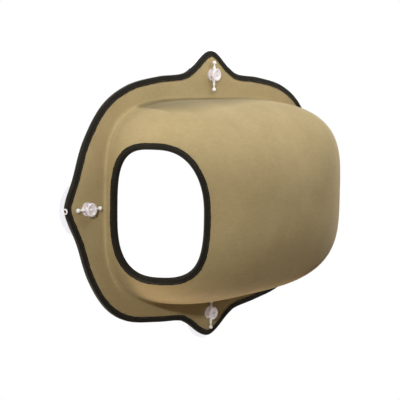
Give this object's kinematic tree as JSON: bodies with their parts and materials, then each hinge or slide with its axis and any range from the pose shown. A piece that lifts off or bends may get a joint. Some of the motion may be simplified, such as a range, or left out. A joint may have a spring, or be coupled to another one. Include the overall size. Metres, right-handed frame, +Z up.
{
  "type": "window mounted cat perch",
  "caption": "Moulded foam pod with an entry in its left end, on a lobed flange that hangs on a window pane from pinned suction cups, with a loose floor pad.",
  "frame": {"origin": "on the window pane, midway between the four suction cups", "axes": "+X along the pane to the right as seen from the room, +Z up, +Y through the pane to the outside, so the pod stands out along -Y"},
  "size_m": [0.6938, 0.2046, 0.5296],
  "materials": {
    "tan_fabric": "tan knitted fabric bonded to moulded foam, matt",
    "black_tape": "black ribbed binding tape, sewn, matt",
    "pad_fleece": "short fleece, matt",
    "clear_vinyl": "clear soft vinyl, glossy, faintly violet",
    "pin_plastic": "milky clear plastic, glossy"
  },
  "bodies": {
    "pod": {"pod_shell": "tan_fabric", "flange_binding": "black_tape", "entry_binding": "black_tape"},
    "pad": {"floor_pad": "pad_fleece"},
    "cup_top": {"suction_cup_top": "clear_vinyl"},
    "cup_bottom": {"suction_cup_bottom": "clear_vinyl"},
    "cup_left": {"suction_cup_left": "clear_vinyl"},
    "cup_right": {"suction_cup_right": "clear_vinyl"},
    "pin_top": {"locking_pin_top": "pin_plastic"},
    "pin_bottom": {"locking_pin_bottom": "pin_plastic"},
    "pin_left": {"locking_pin_left": "pin_plastic"},
    "pin_right": {"locking_pin_right": "pin_plastic"}
  },
  "joints": [
    {"name": "cup_top_spin", "type": "hinge", "parent": "pod", "child": "cup_top", "pos_m": [0, 0, 0.2135], "axis": [0, -1, 0], "continuous": true},
    {"name": "cup_bottom_spin", "type": "hinge", "parent": "pod", "child": "cup_bottom", "pos_m": [0, 0, -0.2135], "axis": [0, -1, 0], "continuous": true},
    {"name": "cup_left_spin", "type": "hinge", "parent": "pod", "child": "cup_left", "pos_m": [-0.298, 0, 0], "axis": [0, -1, 0], "range_deg": [-35, 45]},
    {"name": "cup_right_spin", "type": "hinge", "parent": "pod", "child": "cup_right", "pos_m": [0.298, 0, 0], "axis": [0, -1, 0], "continuous": true},
    {"name": "pin_top_slide", "type": "slide", "parent": "cup_top", "child": "pin_top", "axis": [0, 0, 1], "range_m": [-0.011, 0.015]},
    {"name": "pin_bottom_slide", "type": "slide", "parent": "cup_bottom", "child": "pin_bottom", "axis": [0, 0, 1], "range_m": [-0.011, 0.0085]},
    {"name": "pin_left_slide", "type": "slide", "parent": "cup_left", "child": "pin_left", "axis": [1, 0, 0], "range_m": [-0.013, 0.0115]},
    {"name": "pin_right_slide", "type": "slide", "parent": "cup_right", "child": "pin_right", "axis": [1, 0, 0], "range_m": [-0.0115, 0.0115]},
    {"name": "pad_lift", "type": "slide", "parent": "pod", "child": "pad", "axis": [0, 0, 1], "range_m": [0, 0.06]}
  ]
}
